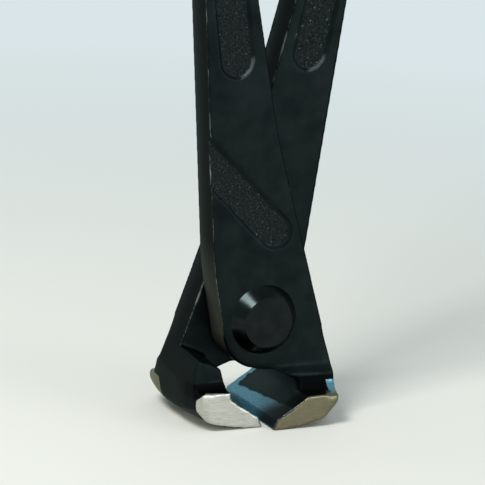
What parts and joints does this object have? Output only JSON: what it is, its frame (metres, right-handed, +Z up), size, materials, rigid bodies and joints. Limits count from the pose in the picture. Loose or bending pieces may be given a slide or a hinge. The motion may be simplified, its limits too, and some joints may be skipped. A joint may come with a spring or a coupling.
{
  "type": "end cutting nippers",
  "caption": "High-leverage end cutting nippers: forged levers crossing on a rivet, broad ground jaws with facing cutting edges, long handles with dipped grips.",
  "frame": {"origin": "middle of the box's bottom face, between the two cutting edges", "axes": "+Z up the handles, +Y along the rivet towards the back lever, +X across the jaws"},
  "size_m": [0.063, 0.0278, 0.3023],
  "materials": {
    "forged_steel": "black oxide over forged steel, jaws ground bright",
    "rivet_steel": "black oxide, turned chamfer",
    "dipped_grip": "dipped vinyl, satin"
  },
  "bodies": {
    "front_body": {"front_lever": "forged_steel", "pivot_rivet": "rivet_steel", "front_grip": "dipped_grip"},
    "back_body": {"back_lever": "forged_steel", "back_grip": "dipped_grip"}
  },
  "joints": [
    {"name": "nipper_pivot", "type": "hinge", "parent": "front_body", "child": "back_body", "pos_m": [0, 0, 0.02159], "axis": [0, 1, 0], "range_deg": [-2.5, 55]}
  ]
}
